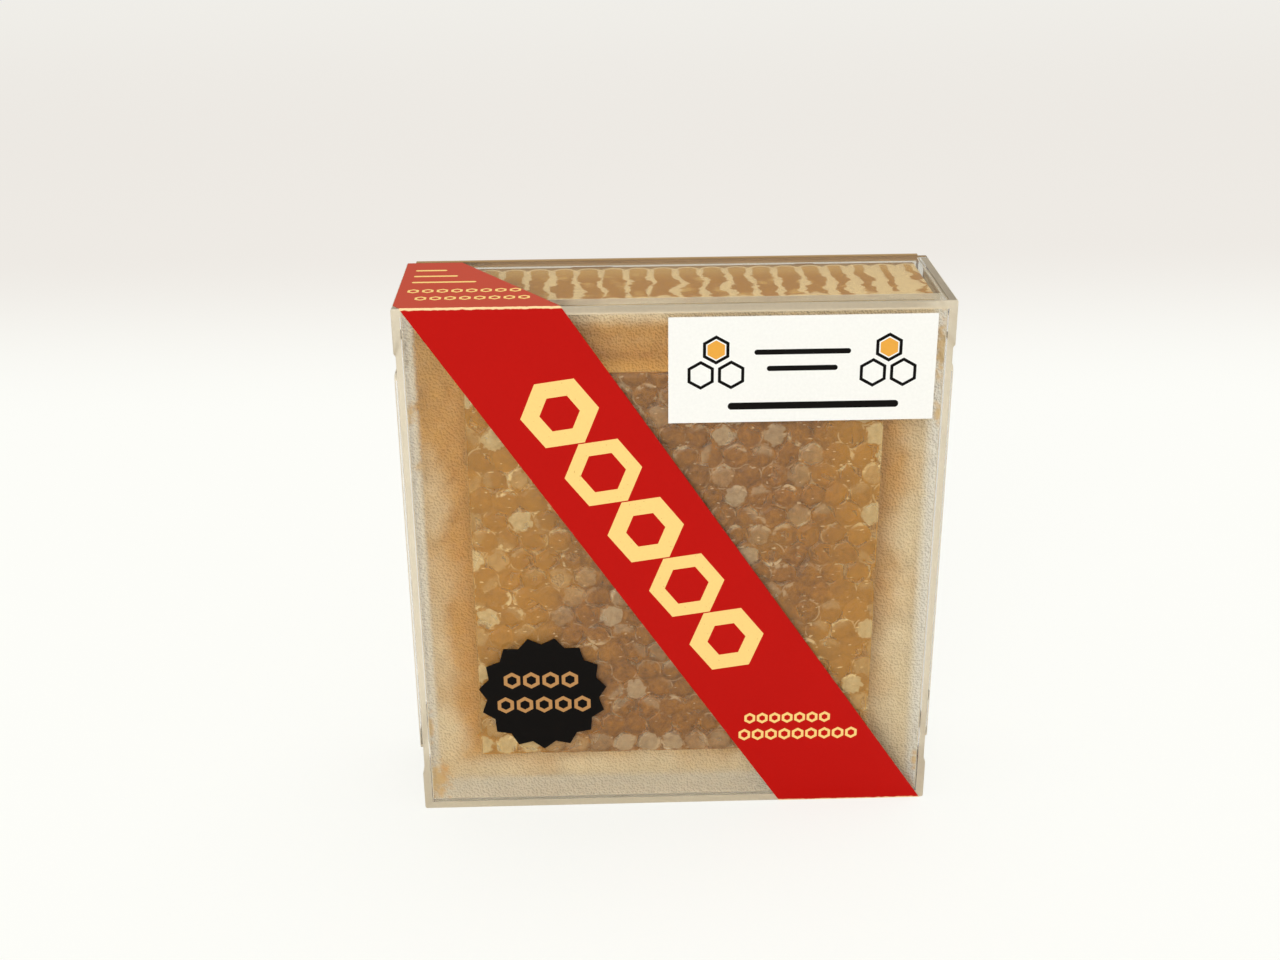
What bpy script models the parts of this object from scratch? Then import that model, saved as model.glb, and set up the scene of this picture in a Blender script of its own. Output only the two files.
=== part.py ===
"""A piece of honeycomb in its clear plastic cassette, with a slanted band label.

The cassette stands on its narrow lower side with the comb's capped face turned
to -Y. A tray holds the comb from behind, a cover slides over it from the front,
and three paper labels lie on the cover. The origin is at the middle of the
pack's lowest level, +Z is up.
"""

from math import cos, pi, sin, sqrt

import bmesh
import bpy
from mathutils import Matrix, Vector

MM = 0.001
GAP = 0.3 * MM                      # free space between pieces that touch

# Cover: a five-sided cap, open towards +Y
COVER_WIDTH = 110.0 * MM
COVER_HEIGHT = 114.5 * MM
COVER_DEPTH = 32.5 * MM
COVER_WALL = 1.7 * MM
COVER_FRONT_WALL = 1.6 * MM
COVER_EDGE_ROUND = 0.35 * MM
SIDE_RELIEF = 0.4 * MM              # side walls stand back between the corner blocks
CORNER_BLOCK_HEIGHT = 9.2 * MM
GRIP_HEIGHT = 86.4 * MM             # raised grip pad in the middle of each side wall
GRIP_FRONT = 2.0 * MM
GRIP_PROUD = 0.4 * MM
GRIP_ROUND = 1.2 * MM

# Tray: an open box behind the comb, closed by a plate behind the cover's rim
TRAY_WALL = 1.2 * MM
TRAY_RIM_DEPTH = 7.4 * MM           # the rim's distance behind the cover's front
TRAY_FLOOR_DEPTH = 31.3 * MM
TRAY_PLATE_WIDTH = 106.2 * MM
TRAY_PLATE_THICKNESS = 1.0 * MM

# Comb: cells on end, one even layer with a raised middle that meets the cover
CELL_PITCH = 5.15 * MM
CAP_HEIGHT = 0.5 * MM
COMB_BORDER_DEPTH = 7.9 * MM
PLATEAU_WIDTH = 83.6 * MM
PLATEAU_BOTTOM = 13.0 * MM
PLATEAU_TOP = 100.5 * MM

# Labels
PAPER = 0.15 * MM
BAND_WIDTH_X = 31.1 * MM            # the band's width, measured level
BAND_LEFT_AT_TOP = -53.2 * MM       # its left edge where it folds over the top
BAND_LEAN = 0.6665                  # sideways run for each unit down the front
BAND_END_DEPTH = 31.8 * MM
BAND_SIDE_LIMIT = 54.7 * MM
BAND_FOLD_STEPS = 4
FRONT_LABEL_X = (-1.45 * MM, 51.3 * MM)
FRONT_LABEL_Z = (90.0 * MM, 112.0 * MM)
BADGE_CENTRE = (-28.3 * MM, 28.5 * MM)
BADGE_POINTS = 15
BADGE_RADIUS = 13.65 * MM
BADGE_VALLEY_RADIUS = 12.0 * MM

# The front label stands proud of the cover, and the band passes below it
LABEL_STAND_OFF = GAP + PAPER
PACK_DEPTH = LABEL_STAND_OFF + COVER_DEPTH + GAP + TRAY_PLATE_THICKNESS
FRONT_Y = LABEL_STAND_OFF - PACK_DEPTH / 2
BOTTOM_Z = LABEL_STAND_OFF
CUT_MARGIN = 5.0 * MM               # how far a cutter reaches past what it cuts


def clear_scene():
    for old in list(bpy.data.objects):
        bpy.data.objects.remove(old, do_unlink=True)


def make_material(name, colour, roughness, metallic=0.0, alpha=1.0):
    material = bpy.data.materials.new(name)
    material.use_nodes = True
    shader = material.node_tree.nodes["Principled BSDF"]
    shader.inputs["Base Color"].default_value = (*colour, 1.0)
    shader.inputs["Roughness"].default_value = roughness
    shader.inputs["Metallic"].default_value = metallic
    shader.inputs["Alpha"].default_value = alpha
    return material


def add_object(name, bm, material):
    bmesh.ops.recalc_face_normals(bm, faces=bm.faces)
    mesh = bpy.data.meshes.new(name)
    bm.to_mesh(mesh)
    bm.free()
    if material:
        mesh.materials.append(material)
    thing = bpy.data.objects.new(name, mesh)
    bpy.context.scene.collection.objects.link(thing)
    return thing


def box_bmesh(low, high):
    bm = bmesh.new()
    bmesh.ops.create_cube(bm, size=1.0)
    size = Vector(high) - Vector(low)
    centre = (Vector(high) + Vector(low)) / 2
    bmesh.ops.scale(bm, vec=size, verts=bm.verts)
    bmesh.ops.translate(bm, vec=centre, verts=bm.verts)
    return bm


def plate_bmesh(outline, low_y, high_y):
    """A flat plate whose (x, z) outline is drawn out along Y."""
    bm = bmesh.new()
    face = bm.faces.new([bm.verts.new((x, low_y, z)) for x, z in outline])
    drawn = bmesh.ops.extrude_face_region(bm, geom=[face])
    moved = [item for item in drawn["geom"] if isinstance(item, bmesh.types.BMVert)]
    bmesh.ops.translate(bm, vec=(0, high_y - low_y, 0), verts=moved)
    return bm


def combine(thing, other, operation):
    """Join or cut a piece with a helper solid, which the model leaves out."""
    other.hide_render = True
    other.display_type = 'WIRE'
    modifier = thing.modifiers.new(operation.title(), 'BOOLEAN')
    modifier.operation = operation
    modifier.solver = 'EXACT'
    modifier.object = other


def cover_outline():
    """The cover seen from the front, with corner blocks on both sides."""
    half = COVER_WIDTH / 2
    relieved = half - SIDE_RELIEF
    block = CORNER_BLOCK_HEIGHT
    right = [(half, 0), (half, block), (relieved, block + SIDE_RELIEF),
             (relieved, COVER_HEIGHT - block - SIDE_RELIEF),
             (half, COVER_HEIGHT - block), (half, COVER_HEIGHT)]
    left = [(-x, z) for x, z in reversed(right)]
    return [(x, z + BOTTOM_Z) for x, z in right + left]


def make_grip(side):
    """A rounded pad on a side wall: +1 is the right wall, -1 the left."""
    inner = side * (COVER_WIDTH / 2 - COVER_WALL + GAP)
    outer = side * (COVER_WIDTH / 2 + GRIP_PROUD)
    middle = BOTTOM_Z + COVER_HEIGHT / 2
    low = (min(inner, outer), FRONT_Y + GRIP_FRONT, middle - GRIP_HEIGHT / 2)
    high = (max(inner, outer), FRONT_Y + COVER_DEPTH, middle + GRIP_HEIGHT / 2)
    bm = box_bmesh(low, high)
    along_x = [edge for edge in bm.edges
               if abs(edge.verts[0].co.x - edge.verts[1].co.x) > GAP
               and edge.verts[0].co.y < FRONT_Y + GRIP_FRONT + GAP]
    bmesh.ops.bevel(bm, geom=along_x, offset=GRIP_ROUND, segments=3, profile=0.5,
                    affect='EDGES', material=-1)
    name = "grip_right" if side > 0 else "grip_left"
    return add_object(name, bm, None)


def long_corners(bm):
    """The four outer edges of the cover that run from front to back."""
    heights = (BOTTOM_Z, BOTTOM_Z + COVER_HEIGHT)
    return [edge for edge in bm.edges
            if all(min(abs(v.co.z - z) for z in heights) < GAP for v in edge.verts)
            and abs(edge.verts[0].co.x - edge.verts[1].co.x) < GAP]


def make_cover(material):
    bm = plate_bmesh(cover_outline(), FRONT_Y, FRONT_Y + COVER_DEPTH)
    bmesh.ops.bevel(bm, geom=long_corners(bm), offset=COVER_EDGE_ROUND, segments=2,
                    profile=0.5, affect='EDGES', material=-1)
    cover = add_object("cover", bm, material)
    combine(cover, make_grip(1), 'UNION')
    combine(cover, make_grip(-1), 'UNION')
    half = COVER_WIDTH / 2 - COVER_WALL
    hollow = box_bmesh((-half, FRONT_Y + COVER_FRONT_WALL, BOTTOM_Z + COVER_WALL),
                       (half, FRONT_Y + COVER_DEPTH + CUT_MARGIN,
                        BOTTOM_Z + COVER_HEIGHT - COVER_WALL))
    combine(cover, add_object("cover_hollow", hollow, None), 'DIFFERENCE')
    return cover


def tray_box(inset, low_depth, high_depth):
    """A box set in by `inset` from the cover's inner walls, between two depths."""
    half = COVER_WIDTH / 2 - COVER_WALL - inset
    low_z = BOTTOM_Z + COVER_WALL + inset
    high_z = BOTTOM_Z + COVER_HEIGHT - COVER_WALL - inset
    return box_bmesh((-half, FRONT_Y + low_depth, low_z), (half, FRONT_Y + high_depth, high_z))


def make_tray(material):
    plate_depth = COVER_DEPTH + GAP
    body = tray_box(GAP, TRAY_RIM_DEPTH, plate_depth + TRAY_PLATE_THICKNESS / 2)
    tray = add_object("tray", body, material)
    half = TRAY_PLATE_WIDTH / 2
    plate = box_bmesh((-half, FRONT_Y + plate_depth, BOTTOM_Z),
                      (half, FRONT_Y + plate_depth + TRAY_PLATE_THICKNESS,
                       BOTTOM_Z + COVER_HEIGHT))
    combine(tray, add_object("tray_plate", plate, None), 'UNION')
    hollow = tray_box(GAP + TRAY_WALL, TRAY_RIM_DEPTH - CUT_MARGIN, TRAY_FLOOR_DEPTH)
    combine(tray, add_object("tray_hollow", hollow, None), 'DIFFERENCE')
    return tray


def cell_sheet(low, high, rim_y, cap_y):
    """Hexagonal cells side by side, trimmed to a rectangle of (x, z) corners.

    Every cell's rim lies at rim_y and its middle at cap_y.
    """
    bm = bmesh.new()
    radius = CELL_PITCH / sqrt(3)
    row_height = 1.5 * radius
    rows = int((high[1] - low[1]) / row_height) + 3
    columns = int((high[0] - low[0]) / CELL_PITCH) + 3
    for row in range(rows):
        for column in range(columns):
            x = low[0] + (column - 0.5 + 0.5 * (row % 2)) * CELL_PITCH
            z = low[1] + (row - 0.5) * row_height
            place = Matrix.Translation((x, rim_y, z)) @ Matrix.Rotation(pi / 2, 4, 'X')
            ring = bmesh.ops.create_circle(bm, cap_ends=True, cap_tris=True, segments=6,
                                           radius=radius, matrix=place)
            middle = min(ring["verts"], key=lambda v: abs(v.co.x - x) + abs(v.co.z - z))
            middle.co.y = cap_y
    bmesh.ops.remove_doubles(bm, verts=bm.verts, dist=CELL_PITCH / 100)
    for corner, sign in ((low, -1), (high, 1)):
        for axis, value in ((0, corner[0]), (2, corner[1])):
            normal = Vector((0, 0, 0))
            normal[axis] = sign
            point = Vector((0, rim_y, 0))
            point[axis] = value
            bmesh.ops.bisect_plane(bm, geom=bm.verts[:] + bm.edges[:] + bm.faces[:],
                                   dist=CELL_PITCH / 500, plane_co=point, plane_no=normal,
                                   clear_outer=True)
    return bm


def close_behind(bm, back_y):
    """Draw the sheet's border out to a flat back and close it."""
    border = [edge for edge in bm.edges if edge.is_boundary]
    drawn = bmesh.ops.extrude_edge_only(bm, edges=border)
    for item in drawn["geom"]:
        if isinstance(item, bmesh.types.BMVert):
            item.co.y = back_y
    rim = [edge for edge in bm.edges if edge.is_boundary]
    bmesh.ops.holes_fill(bm, edges=rim, sides=0)
    return bm


def make_comb(material):
    inset = GAP + TRAY_WALL + GAP
    half = COVER_WIDTH / 2 - COVER_WALL - inset
    low = (-half, BOTTOM_Z + COVER_WALL + inset)
    high = (half, BOTTOM_Z + COVER_HEIGHT - COVER_WALL - inset)
    border_y = FRONT_Y + COMB_BORDER_DEPTH
    back_y = FRONT_Y + TRAY_FLOOR_DEPTH - GAP
    middle_y = (border_y + back_y) / 2
    capped = close_behind(cell_sheet(low, high, border_y, border_y - CAP_HEIGHT), middle_y)
    comb = add_object("comb", capped, material)

    base_y = back_y - CAP_HEIGHT
    base = close_behind(cell_sheet(low, high, base_y, back_y), middle_y - GAP)
    combine(comb, add_object("comb_base", base, None), 'UNION')

    plateau_low = (-PLATEAU_WIDTH / 2, BOTTOM_Z + PLATEAU_BOTTOM)
    plateau_high = (PLATEAU_WIDTH / 2, BOTTOM_Z + PLATEAU_TOP)
    front_y = FRONT_Y + COVER_FRONT_WALL + GAP
    plateau = close_behind(cell_sheet(plateau_low, plateau_high, front_y + CAP_HEIGHT, front_y),
                           middle_y - CELL_PITCH)
    combine(comb, add_object("comb_plateau", plateau, None), 'UNION')
    return comb


def band_path():
    """The band's (run, y, z) stations: over the top, down the front, under the bottom."""
    fold = COVER_EDGE_ROUND + GAP
    front = FRONT_Y - GAP
    top = BOTTOM_Z + COVER_HEIGHT + GAP
    bottom = BOTTOM_Z - GAP
    end = FRONT_Y + BAND_END_DEPTH
    points = [(end, top)]
    reach = BAND_LEFT_AT_TOP + BAND_SIDE_LIMIT
    points.append((front + reach / BAND_LEAN, top))
    for step in range(BAND_FOLD_STEPS + 1):
        turn = pi / 2 * step / BAND_FOLD_STEPS
        points.append((front + fold - fold * sin(turn), top - fold + fold * cos(turn)))
    points += [(y, top + bottom - z) for y, z in reversed(points)]
    run = -(end - front)
    stations = [(run, *points[0])]
    for before, after in zip(points, points[1:]):
        run += (Vector(after) - Vector(before)).length
        stations.append((run, *after))
    return stations


def make_band_label(material):
    """A paper strip that leans across the front and folds over both narrow sides."""
    bm = bmesh.new()
    edge = None
    for run, y, z in band_path():
        left = BAND_LEFT_AT_TOP + run * BAND_LEAN
        right = min(left + BAND_WIDTH_X, BAND_SIDE_LIMIT)
        left = max(left, -BAND_SIDE_LIMIT)
        if edge is None:
            edge = bm.edges.new([bm.verts.new((left, y, z)), bm.verts.new((right, y, z))])
            continue
        drawn = bmesh.ops.extrude_edge_only(bm, edges=[edge])["geom"]
        new_ends = sorted((item for item in drawn if isinstance(item, bmesh.types.BMVert)),
                          key=lambda v: v.co.x)
        for end, x in zip(new_ends, (left, right)):
            end.co = (x, y, z)
        edge = bm.edges.get(new_ends)
    label = add_object("band_label", bm, material)
    paper = label.modifiers.new("Paper", 'SOLIDIFY')
    paper.thickness = PAPER
    paper.offset = 1.0
    paper.use_even_offset = True
    return label


def make_front_label(material):
    x_low, x_high = FRONT_LABEL_X
    z_low, z_high = FRONT_LABEL_Z
    bm = box_bmesh((x_low, FRONT_Y - LABEL_STAND_OFF, BOTTOM_Z + z_low),
                   (x_high, FRONT_Y - GAP, BOTTOM_Z + z_high))
    return add_object("front_label", bm, material)


def make_badge_label(material):
    """A round sticker with a saw-tooth edge, one tooth pointing straight down."""
    centre_x, centre_z = BADGE_CENTRE
    outline = []
    for corner in range(2 * BADGE_POINTS):
        radius = BADGE_VALLEY_RADIUS if corner % 2 else BADGE_RADIUS
        turn = -pi / 2 + pi * corner / BADGE_POINTS
        outline.append((centre_x + radius * cos(turn), BOTTOM_Z + centre_z + radius * sin(turn)))
    bm = plate_bmesh(outline, FRONT_Y - LABEL_STAND_OFF, FRONT_Y - GAP)
    return add_object("badge_label", bm, material)


def main():
    clear_scene()
    clear_plastic = make_material("clear_plastic", (0.86, 0.84, 0.78), 0.15, alpha=0.35)
    honeycomb = make_material("honeycomb", (0.47, 0.27, 0.09), 0.35)
    red_paper = make_material("red_paper", (0.53, 0.013, 0.008), 0.45)
    white_paper = make_material("white_paper", (0.86, 0.86, 0.82), 0.5)
    black_paper = make_material("black_paper", (0.012, 0.010, 0.008), 0.5)
    make_cover(clear_plastic)
    make_tray(clear_plastic)
    make_comb(honeycomb)
    make_band_label(red_paper)
    make_front_label(white_paper)
    make_badge_label(black_paper)


main()
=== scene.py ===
"""Honeycomb in a clear cassette: the looks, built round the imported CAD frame."""

import random
from math import cos, pi, radians, sin, sqrt

import bmesh
import bpy
from bpy.props import FloatProperty, FloatVectorProperty, IntProperty, PointerProperty
from mathutils import Matrix, Vector


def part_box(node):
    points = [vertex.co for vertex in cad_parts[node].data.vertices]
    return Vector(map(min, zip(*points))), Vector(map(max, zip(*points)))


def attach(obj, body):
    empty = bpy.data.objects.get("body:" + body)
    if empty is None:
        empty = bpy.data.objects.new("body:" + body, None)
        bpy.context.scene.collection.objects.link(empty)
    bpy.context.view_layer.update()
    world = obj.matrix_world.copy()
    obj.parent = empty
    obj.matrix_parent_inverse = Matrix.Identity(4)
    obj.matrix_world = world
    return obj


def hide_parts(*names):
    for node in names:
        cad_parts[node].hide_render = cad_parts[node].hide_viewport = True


bl_info = {
    "name": "Honeycomb Cassette",
    "version": (1, 0, 0),
    "blender": (4, 5, 0),
    "location": "View3D > Sidebar > Honeycomb",
    "description": "Builds a piece of comb honey in its clear plastic cassette",
    "category": "Add Mesh",
}

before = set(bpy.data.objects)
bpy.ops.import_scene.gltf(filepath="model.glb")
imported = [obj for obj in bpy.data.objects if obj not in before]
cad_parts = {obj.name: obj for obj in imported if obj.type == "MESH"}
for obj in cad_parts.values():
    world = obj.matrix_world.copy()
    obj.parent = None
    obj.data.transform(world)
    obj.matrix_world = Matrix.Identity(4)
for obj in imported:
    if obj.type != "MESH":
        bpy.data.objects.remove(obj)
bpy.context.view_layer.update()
BODY = "root"

MM = 0.001
COVER_LOW, COVER_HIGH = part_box("cover")
TRAY_RIM_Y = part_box("tray")[0].y
COMB_LOW, COMB_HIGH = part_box("comb")
FRONT = COVER_LOW.y                  # outer face of the front panel
BASE = COVER_LOW.z
TOP = COVER_HIGH.z
PANEL_WALL = 1.6 * MM
SIDE_WALL = 1.7 * MM
GRIP_PROUD = 0.4 * MM                # the grips stand this far out of the side walls
PLASTIC_IOR = 1.36                   # low, so that the wet inside shows through
WET_PLASTIC_IOR = 1.2                # the tray, with honey against its walls
PAPER_IOR = 1.16                     # low, for a faint sheen only
PEBBLE = 0.46 * MM                   # grain inside the front panel
PEBBLE_SHIFT = 0.1 * MM              # how far apart the grain's lit and shaded sides lie
# Strength of the painted light and shade on the grain inside the front panel.
PEBBLE_CONTRAST = 4.2
SINK = 0.05 * MM                     # how far a piece reaches into what it touches
COMB_SLACK = 0.3 * MM                # free space the CAD leaves round the comb


def linear(red, green, blue):
    """A display colour, 0 to 255, as scene-linear red, green and blue."""
    shares = (channel / 255 for channel in (red, green, blue))
    return tuple(s / 12.92 if s <= 0.04045 else ((s + 0.055) / 1.055) ** 2.4 for s in shares)


# ---------------------------------------------------------------- shader maths

def arithmetic(operation, reflected=False):
    """A method that adds a Math node; reflected when the value stands on the right."""
    def apply(self, other):
        pair = (other, self) if reflected else (self, other)
        return self.graph.node("ShaderNodeMath", dict(enumerate(pair)), operation=operation)
    return apply


class Value:
    """A shader socket that takes part in plain arithmetic."""

    def __init__(self, graph, socket):
        self.graph = graph
        self.socket = socket

    __add__ = arithmetic('ADD')
    __radd__ = arithmetic('ADD', True)
    __sub__ = arithmetic('SUBTRACT')
    __rsub__ = arithmetic('SUBTRACT', True)
    __mul__ = arithmetic('MULTIPLY')
    __rmul__ = arithmetic('MULTIPLY', True)
    __truediv__ = arithmetic('DIVIDE')
    __pow__ = arithmetic('POWER')
    least = arithmetic('MINIMUM')
    most = arithmetic('MAXIMUM')

    def one(self, operation):
        return self.graph.node("ShaderNodeMath", {0: self}, operation=operation)

    def __abs__(self):
        return self.one('ABSOLUTE')

    def step(self, low, high):
        """0 below low, 1 above high and smooth between them."""
        return self.graph.node("ShaderNodeMapRange", {0: self, 1: low, 2: high},
                               interpolation_type='SMOOTHSTEP')

    def part(self, index):
        """The vector's x, y or z, by index 0, 1 or 2."""
        return self.graph.node("ShaderNodeSeparateXYZ", {0: self}, output=index)


class Graph:
    """The nodes of one material or world, ending in its shader."""

    def __init__(self, name, world=None):
        self.material = world or bpy.data.materials.new(name)
        self.material.use_nodes = True
        self.tree = self.material.node_tree
        self.shader = self.tree.nodes["Background" if world else "Principled BSDF"]

    def node(self, kind, inputs=None, output=0, **settings):
        """Adds a node: its settings first, then its inputs, as values or sockets."""
        made = self.tree.nodes.new(kind)
        for name, value in settings.items():
            setattr(made, name, value)
        for key, value in (inputs or {}).items():
            self.feed(made.inputs[key], value)
        return Value(self, made.outputs[output])

    def feed(self, socket, value):
        if isinstance(value, Value):
            self.tree.links.new(value.socket, socket)
        elif socket.type == 'RGBA' and len(value) == 3:
            socket.default_value = (*value, 1)
        else:
            socket.default_value = value

    def place(self):
        """Object coordinates, in metres."""
        return self.node("ShaderNodeTexCoord", output="Object")

    def attribute(self, name, output="Vector"):
        return self.node("ShaderNodeAttribute", output=output, attribute_name=name)

    def noise(self, size, detail=2.0, where=None, output=0):
        """Soft random values around 0.5, in patches about `size` metres across."""
        sockets = {"Vector": where or self.place(), "Scale": 1 / size, "Detail": detail}
        return self.node("ShaderNodeTexNoise", sockets, output=output)

    def mix(self, factor, first, second):
        """A colour: first where factor is 0, second where it is 1."""
        return self.node("ShaderNodeMix", {0: factor, 6: first, 7: second}, output=2,
                         data_type='RGBA')

    def shaded(self, colour, amount):
        """A colour made darker or lighter by a value around 1."""
        return self.node("ShaderNodeVectorMath", {0: colour, 3: amount}, operation='SCALE')

    def warped(self, size, reach, where=None):
        """Object coordinates pushed about by soft noise, at most `reach` metres."""
        where = where or self.place()
        push = self.node("ShaderNodeVectorMath",
                         {0: self.noise(size, where=where, output=1), 1: (0.5, 0.5, 0.5)},
                         operation='SUBTRACT')
        push = self.node("ShaderNodeVectorMath", {0: push, 3: 2 * reach}, operation='SCALE')
        return self.node("ShaderNodeVectorMath", {0: where, 1: push}, operation='ADD')

    def bump(self, height, depth, strength=1.0):
        return self.node("ShaderNodeBump", {"Height": height, "Distance": depth,
                                            "Strength": strength})

    def surface(self, **sockets):
        """Sets or links the Principled shader's sockets and returns the material."""
        for name, value in sockets.items():
            self.feed(self.shader.inputs[name.replace("_", " ")], value)
        return self.material


# ------------------------------------------------------------------- settings

def size_property(name, description, default_mm):
    return FloatProperty(name=name, description=description, default=default_mm * MM,
                         unit='LENGTH', subtype='DISTANCE')


def colour_property(name, description, *shown):
    return FloatVectorProperty(name=name, description=description, default=linear(*shown),
                               subtype='COLOR', min=0, max=1, size=3)


class CassetteSizes(bpy.types.PropertyGroup):
    """Sizes of the comb, the plastic and the labels."""
    cell_pitch: size_property("Cell pitch", "Width of one comb cell between its flat sides", 5.15)
    cell_jitter: size_property("Cell jitter", "How far a cell's corners stray", 0.48)
    middle_width: size_property("Raised middle width", "Comb that meets the front panel", 83.6)
    middle_bottom: size_property("Raised middle bottom", "Its height above the base", 13.0)
    middle_top: size_property("Raised middle top", "Its top's height above the base", 100.5)
    border_depth: size_property("Border depth", "Sunken border behind the front face", 7.7)
    plastic_round: size_property("Plastic edge radius", "Rounding of the moulded edges", 0.22)
    paper: size_property("Paper thickness", "Thickness of a label", 0.12)
    ink: size_property("Ink thickness", "Thickness of the print on a label", 0.02)
    band_width: size_property("Band width", "Width of the band, measured level", 31.1)
    print_radius: size_property("Band print radius", "Radius of the band's large cells", 7.9)
    badge_radius: size_property("Badge radius", "Radius over the badge's teeth", 13.65)
    badge_valley: size_property("Badge valley radius", "Radius between the badge's teeth", 12.0)
    badge_teeth: IntProperty(name="Badge teeth", description="Teeth round the badge", default=15)
    seed: IntProperty(name="Seed", description="Start of the comb's random shapes", default=7)


class CassetteColours(bpy.types.PropertyGroup):
    """Colours of the comb, the plastic, the paper and the stage."""
    plastic: colour_property("Plastic", "Clear moulded plastic", 252, 250, 244)
    edge: colour_property("Plastic edge", "Walls of the cover seen end on", 228, 214, 186)
    grey_edge: colour_property("Grey edge", "Side walls seen from above", 176, 162, 138)
    rim: colour_property("Tray rim", "Front rim of the tray", 246, 236, 212)
    tray_edge: colour_property("Tray floor edge", "Edge of the tray's floor", 172, 138, 88)
    honey_gold: colour_property("Golden honey", "Comb towards the sides", 177, 122, 32)
    honey_brown: colour_property("Brown honey", "Comb pressed on the panel", 150, 98, 30)
    wax_pale: colour_property("Pale wax", "Capping over the golden comb", 218, 190, 132)
    wax_grey: colour_property("Greyish wax", "Capping in the brown middle", 190, 162, 122)
    border_pale: colour_property("Pale border", "Comb in the sunken border", 228, 206, 164)
    border_brown: colour_property("Brown border", "Darker comb in the border", 200, 146, 58)
    cut_wax: colour_property("Cut wax", "Cell walls seen through the narrow sides", 246, 218, 162)
    cut_amber: colour_property("Amber honey", "Honey deep in a cut cell", 190, 134, 38)
    cut_gold: colour_property("Pale honey", "Honey near a cut cell's base", 222, 176, 88)
    smear: colour_property("Smear", "Honey smeared inside the cover", 226, 170, 64)
    red: colour_property("Red paper", "The band", 189, 15, 8)
    cream: colour_property("Cream print", "Print on the band", 252, 214, 132)
    # Also the colour of the painted sheen on the band's top.
    worn_fold_and_sheen: colour_property("Worn fold", "Paper worn pale along a fold", 255, 228, 170)
    white: colour_property("White paper", "The front label", 246, 245, 239)
    amber: colour_property("Amber print", "Print on the front label", 236, 170, 70)
    black: colour_property("Black print", "Badge and front label print", 12, 9, 7)
    window: colour_property("Badge window", "Comb seen through the badge", 186, 138, 86)
    floor: colour_property("Floor", "Floor near the pack", 254, 254, 249)
    # The colour of the painted shade on the floor far behind the pack.
    distance: colour_property("Far floor", "Floor behind the pack", 240, 236, 230)


def sizes():
    return bpy.context.scene.cassette_sizes


def colours():
    return bpy.context.scene.cassette_colours


# ----------------------------------------------------------------- mesh tools

def add_piece(name, bm, materials, replaces):
    """Turns a bmesh into a visible piece that rides on the pack's body."""
    mesh = bpy.data.meshes.new(name)
    bm.to_mesh(mesh)
    bm.free()
    for material in materials:
        mesh.materials.append(material)
    piece = bpy.data.objects.new(name, mesh)
    bpy.context.scene.collection.objects.link(piece)
    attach(piece, BODY)
    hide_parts(replaces)
    return piece


def everything(bm):
    """All of a mesh's elements, as a cut needs them."""
    return bm.verts[:] + bm.edges[:] + bm.faces[:]


def moved_verts(result):
    """The corners that an extrusion has drawn out."""
    return [item for item in result["geom"] if isinstance(item, bmesh.types.BMVert)]


def thicken(bm, faces, push):
    """Draws flat faces out into a closed plate."""
    drawn = bmesh.ops.extrude_face_region(bm, geom=faces)
    bmesh.ops.translate(bm, vec=push, verts=moved_verts(drawn))


# ---------------------------------------------------------------- the plastic

def plastic_material(name, tint, roughness, ior):
    """Clear moulded plastic with faint handling marks."""
    graph = Graph(name)
    marks = graph.noise(6 * MM, detail=4.0)
    return graph.surface(Base_Color=tint, Roughness=roughness + 0.05 * marks.step(0.45, 0.8),
                         IOR=ior, Transmission_Weight=1.0)


STAINS = (
    # honey inside the front panel: x, height, half width and half height, in mm
    (-52.6, 92.5, 2.0, 3.4), (-53.0, 20.0, 1.4, 5.0), (-52.0, 6.5, 4.2, 7.0),
    (52.6, 104.0, 1.7, 10.0), (52.6, 90.5, 1.4, 4.0), (52.8, 9.0, 1.2, 4.5),
)


def stain_mask(graph):
    """1 where honey is smeared on the panel, with ragged soft edges."""
    where = graph.place()
    across, up = where.part(0), where.part(2)
    ragged = (graph.noise(1.7 * MM, detail=3.0, where=where) - 0.5) * 1.6
    mask = 0.0
    for x, z, half_width, half_height in STAINS:
        aside = (across - x * MM) / (half_width * MM)
        above = (up - (BASE + z * MM)) / (half_height * MM)
        spot = 1 - (aside * aside + above * above) ** 0.5 + ragged
        mask = spot.step(0.05, 0.85).most(mask)
    return mask


def pebble_material(tint):
    """The inside of the front panel: a fine leather-like grain, smeared with honey, with a
    painted highlight on one side of each grain and painted shade on the other.
    """
    graph = Graph("pebbled_plastic")
    where = graph.warped(1.1 * MM, 0.2 * MM)
    shift = (PEBBLE_SHIFT, 0, PEBBLE_SHIFT)
    shifted = graph.node("ShaderNodeVectorMath", {0: where, 1: shift})
    height = graph.noise(PEBBLE, detail=1.0, where=where)
    # Painted highlight and shade: the grain minus a shifted copy of itself lights one side of
    # each pebble and shades the other.
    painted_grain_light_and_shade = (height - graph.noise(PEBBLE, detail=1.0, where=shifted)) * PEBBLE_CONTRAST
    # The clear tint made lighter and darker by that painted light and shade.
    clear = graph.shaded(tint, (0.86 + painted_grain_light_and_shade).most(0.50).least(1.10))
    return graph.surface(Base_Color=graph.mix(stain_mask(graph) * 0.85, clear, colours().smear),
                         Roughness=0.36, IOR=PLASTIC_IOR, Transmission_Weight=1.0,
                         Normal=graph.bump(height, 0.12 * MM))


def frosted_material(name, colour, clearness):
    """Plastic seen end on: pale, rough and only partly clear."""
    graph = Graph(name)
    grain = graph.noise(0.7 * MM, detail=3.0)
    wide = graph.noise(9 * MM, detail=2.0)
    return graph.surface(Base_Color=graph.shaded(colour, 0.86 + 0.16 * grain + 0.12 * wide),
                         Roughness=0.32 + 0.15 * grain, IOR=PLASTIC_IOR,
                         Transmission_Weight=clearness)


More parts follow.
